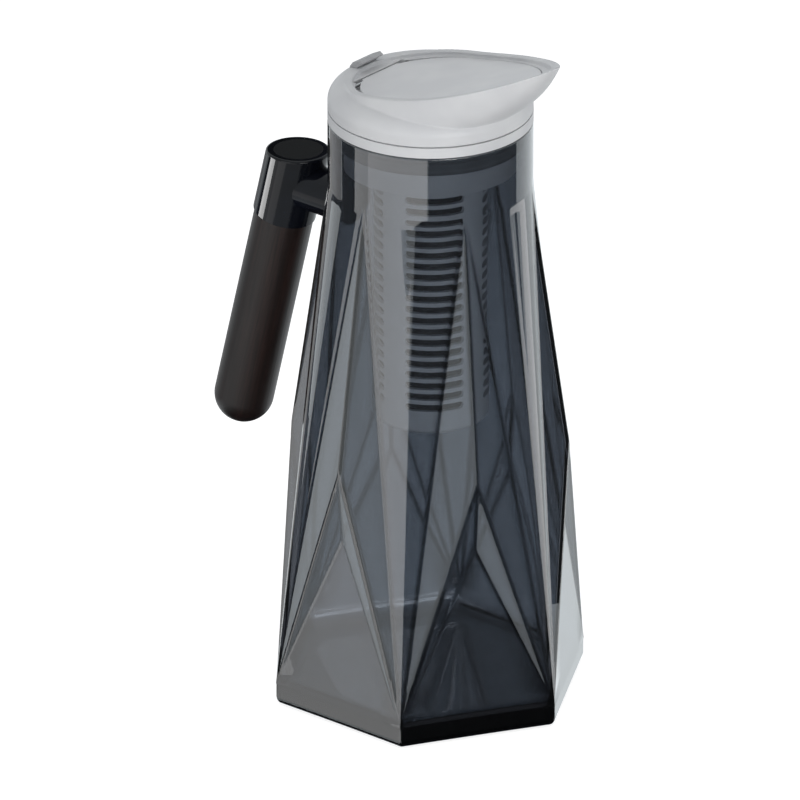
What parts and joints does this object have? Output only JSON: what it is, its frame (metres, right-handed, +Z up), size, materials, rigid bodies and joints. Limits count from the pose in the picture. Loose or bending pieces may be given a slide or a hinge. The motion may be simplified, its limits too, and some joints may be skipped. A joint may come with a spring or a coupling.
{
  "type": "infuser water pitcher",
  "caption": "Tall faceted smoked pitcher with a round neck, a straight wooden grip on a side arm, a leaf-shaped lid with a hinged pouring flap, and a slotted strainer hung from the lid.",
  "frame": {"origin": "centre of the base on the table", "axes": "+Z up along the vessel, +X towards the spout, the handle on the -X side"},
  "size_m": [0.1935, 0.1248, 0.3147],
  "materials": {
    "smoked_plastic": "clear smoked, polished",
    "smoked_holder": "clear dark smoked, polished",
    "black_plastic": "satin black",
    "steel": "plain",
    "brass": "plain",
    "dark_wood": "oiled dark wood, fine grain along the grip",
    "lid_grey": "satin light grey",
    "flap_grey": "satin light grey",
    "seal_rubber": "matt",
    "strainer_grey": "satin grey"
  },
  "bodies": {
    "jug": {"jug_vessel": "smoked_plastic", "handle_holder": "smoked_holder", "holder_top_plug": "black_plastic", "grip_bolt": "steel", "bolt_washer": "steel", "grip_insert": "brass", "wood_grip": "dark_wood"},
    "lid": {"lid_base": "lid_grey", "lid_seal": "seal_rubber", "lid_shell": "lid_grey", "thumb_rest": "lid_grey", "flap_pin": "steel"},
    "flap": {"pour_flap": "flap_grey"},
    "strainer": {"strainer_cage": "strainer_grey", "strainer_ring": "seal_rubber", "strainer_mesh": "steel", "mesh_end_disc": "steel", "mesh_hoop": "steel"}
  },
  "joints": [
    {"name": "lid_lift", "type": "slide", "parent": "jug", "child": "lid", "axis": [0, 0, 1], "range_m": [0, 0.16]},
    {"name": "flap_hinge", "type": "hinge", "parent": "lid", "child": "flap", "pos_m": [-0.0285, 0, 0.28398], "axis": [0, -1, 0], "range_deg": [0, 75]},
    {"name": "strainer_pull", "type": "slide", "parent": "lid", "child": "strainer", "axis": [0, 0, -1], "range_m": [0, 0.05]}
  ]
}
